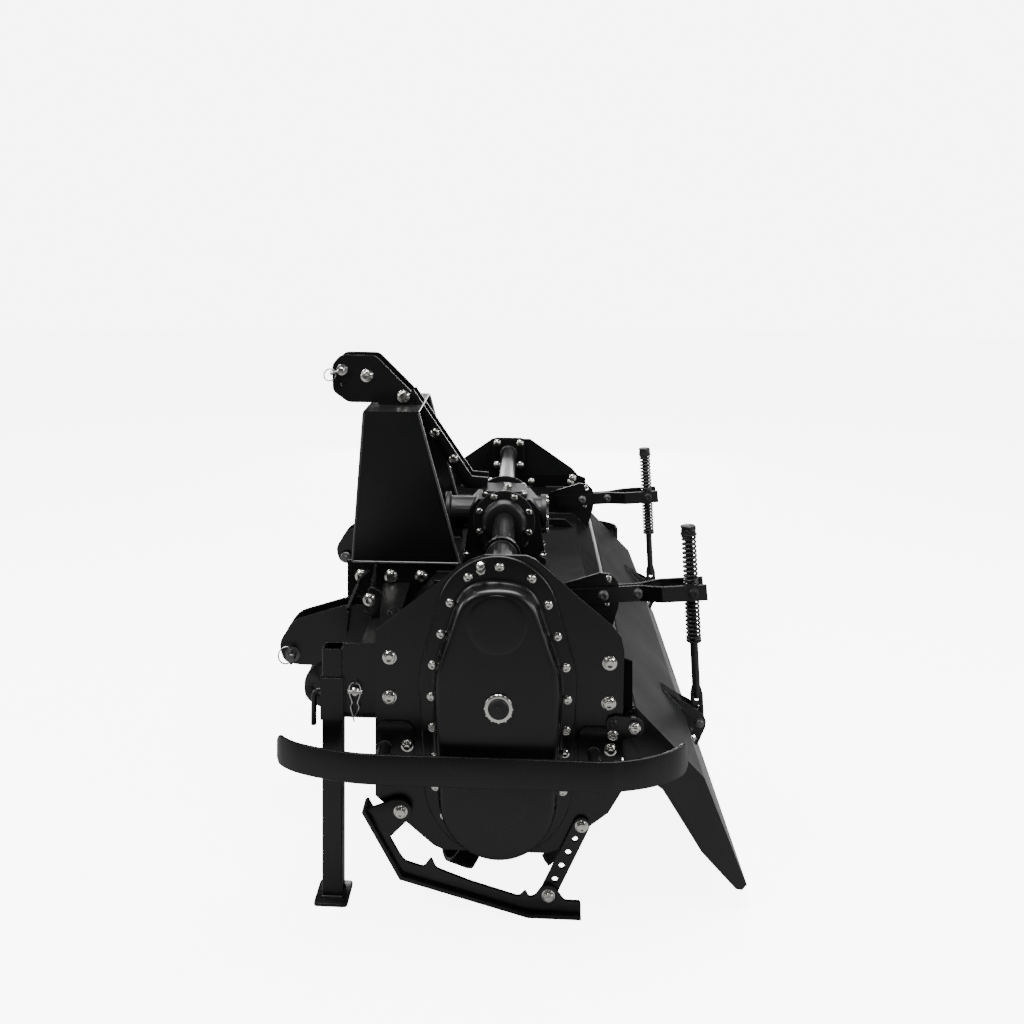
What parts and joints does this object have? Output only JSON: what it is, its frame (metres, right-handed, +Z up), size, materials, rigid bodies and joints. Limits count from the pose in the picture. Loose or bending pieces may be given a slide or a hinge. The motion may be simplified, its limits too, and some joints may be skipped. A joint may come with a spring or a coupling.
{
  "type": "rotary tiller",
  "caption": "Three-point-hitch rotary tiller with a side gear case, tined rotor under a hood, sprung rear flap, skids, side bumpers and parking stands.",
  "frame": {"origin": "on the ground, at the centre of the base of the overall box; the machine is centred on it from side to side and from front to back", "axes": "+X is the machine's left (gear case) side and its longest extent, -Y is forward (towards the tractor), +Z is up"},
  "size_m": [1.974, 1.1062, 1.0959],
  "materials": {
    "black_paint": "satin gloss",
    "bright_steel": "bright zinc plate",
    "spring_wire": "black oxide",
    "rotor_paint": "satin"
  },
  "bodies": {
    "frame": {"arm_bracket_left": "black_paint", "arm_bracket_right": "black_paint", "axle_tube_left": "black_paint", "axle_tube_right": "black_paint", "bumper_left": "black_paint", "bumper_right": "black_paint", "deck": "black_paint", "drive_case_cover": "black_paint", "front_beam": "black_paint", "gearbox": "black_paint", "hinge_lug_left": "black_paint", "hinge_lug_right": "black_paint", "hitch_clevis_left": "black_paint", "hitch_clevis_right": "black_paint", "lift_arm_left": "black_paint", "lift_arm_right": "black_paint", "lower_pin_left": "bright_steel", "lower_pin_right": "bright_steel", "mast_brace_left": "black_paint", "mast_brace_right": "black_paint", "mast_frame": "black_paint", "mast_plate_left": "black_paint", "mast_plate_right": "black_paint", "pto_shield": "black_paint", "rotor_bearing_left": "black_paint", "rotor_bearing_right": "black_paint", "side_plate_left": "black_paint", "side_plate_right": "black_paint", "skid_left": "black_paint", "skid_right": "black_paint", "skid_strap_left": "black_paint", "skid_strap_right": "black_paint", "stand_bracket_left": "black_paint", "stand_bracket_right": "black_paint", "top_hitch_left": "black_paint", "top_hitch_right": "black_paint", "top_link_pin": "bright_steel"},
    "rotor": {"rotor_shaft": "rotor_paint", "tine_hub_1": "rotor_paint", "tine_hub_2": "rotor_paint", "tine_hub_3": "rotor_paint", "tine_hub_4": "rotor_paint", "tine_hub_5": "rotor_paint", "tine_hub_6": "rotor_paint", "tine_hub_7": "rotor_paint", "tine_hub_8": "rotor_paint"},
    "pto_shaft": {"pto_shaft": "bright_steel"},
    "tail_flap": {"tail_flap": "black_paint", "flap_bracket_left": "black_paint", "flap_bracket_right": "black_paint"},
    "swivel_left": {"swivel_left": "black_paint", "spring_upper_left": "spring_wire", "spring_lower_left": "spring_wire"},
    "rod_left": {"spring_rod_left": "black_paint"},
    "stand_left": {"stand_leg_left": "black_paint"},
    "swivel_right": {"swivel_right": "black_paint", "spring_upper_right": "spring_wire", "spring_lower_right": "spring_wire"},
    "rod_right": {"spring_rod_right": "black_paint"},
    "stand_right": {"stand_leg_right": "black_paint"}
  },
  "joints": [
    {"name": "rotor_spin", "type": "hinge", "parent": "frame", "child": "rotor", "pos_m": [0, 0.0172, 0.25], "axis": [1, 0, 0], "continuous": true},
    {"name": "pto_spin", "type": "hinge", "parent": "frame", "child": "pto_shaft", "pos_m": [0, -0.1828, 0.625], "axis": [0, -1, 0], "continuous": true},
    {"name": "flap_hinge", "type": "hinge", "parent": "frame", "child": "tail_flap", "pos_m": [0, 0.3082, 0.404], "axis": [1, 0, 0], "range_deg": [-4, 8], "stiffness_Nm_per_rad": 1500, "springref_deg": 1.15},
    {"name": "swivel_left_pivot", "type": "hinge", "parent": "frame", "child": "swivel_left", "pos_m": [0.495, 0.4892, 0.57], "axis": [1, 0, 0], "range_deg": [-2.2, 4.4]},
    {"name": "rod_left_slide", "type": "slide", "parent": "swivel_left", "child": "rod_left", "axis": [0, -0.0495, 0.9988], "range_m": [-0.0138, 0.027], "deforming": ["spring_upper_left", "spring_lower_left"]},
    {"name": "swivel_right_pivot", "type": "hinge", "parent": "frame", "child": "swivel_right", "pos_m": [-0.495, 0.4892, 0.57], "axis": [1, 0, 0], "range_deg": [-2.2, 4.4]},
    {"name": "rod_right_slide", "type": "slide", "parent": "swivel_right", "child": "rod_right", "axis": [0, -0.0495, 0.9988], "range_m": [-0.0138, 0.027], "deforming": ["spring_upper_right", "spring_lower_right"]},
    {"name": "stand_left_slide", "type": "slide", "parent": "frame", "child": "stand_left", "axis": [0, 0, 1], "range_m": [0, 0.35]},
    {"name": "stand_right_slide", "type": "slide", "parent": "frame", "child": "stand_right", "axis": [0, 0, 1], "range_m": [0, 0.35]}
  ],
  "couplings": [
    {"joint": "pto_spin", "follows": "rotor_spin", "ratio": 2.5},
    {"joint": "swivel_left_pivot", "follows": "flap_hinge", "ratio": 0.515},
    {"joint": "rod_left_slide", "follows": "flap_hinge", "m_per_rad": 0.189},
    {"joint": "swivel_right_pivot", "follows": "flap_hinge", "ratio": 0.515},
    {"joint": "rod_right_slide", "follows": "flap_hinge", "m_per_rad": 0.189}
  ]
}
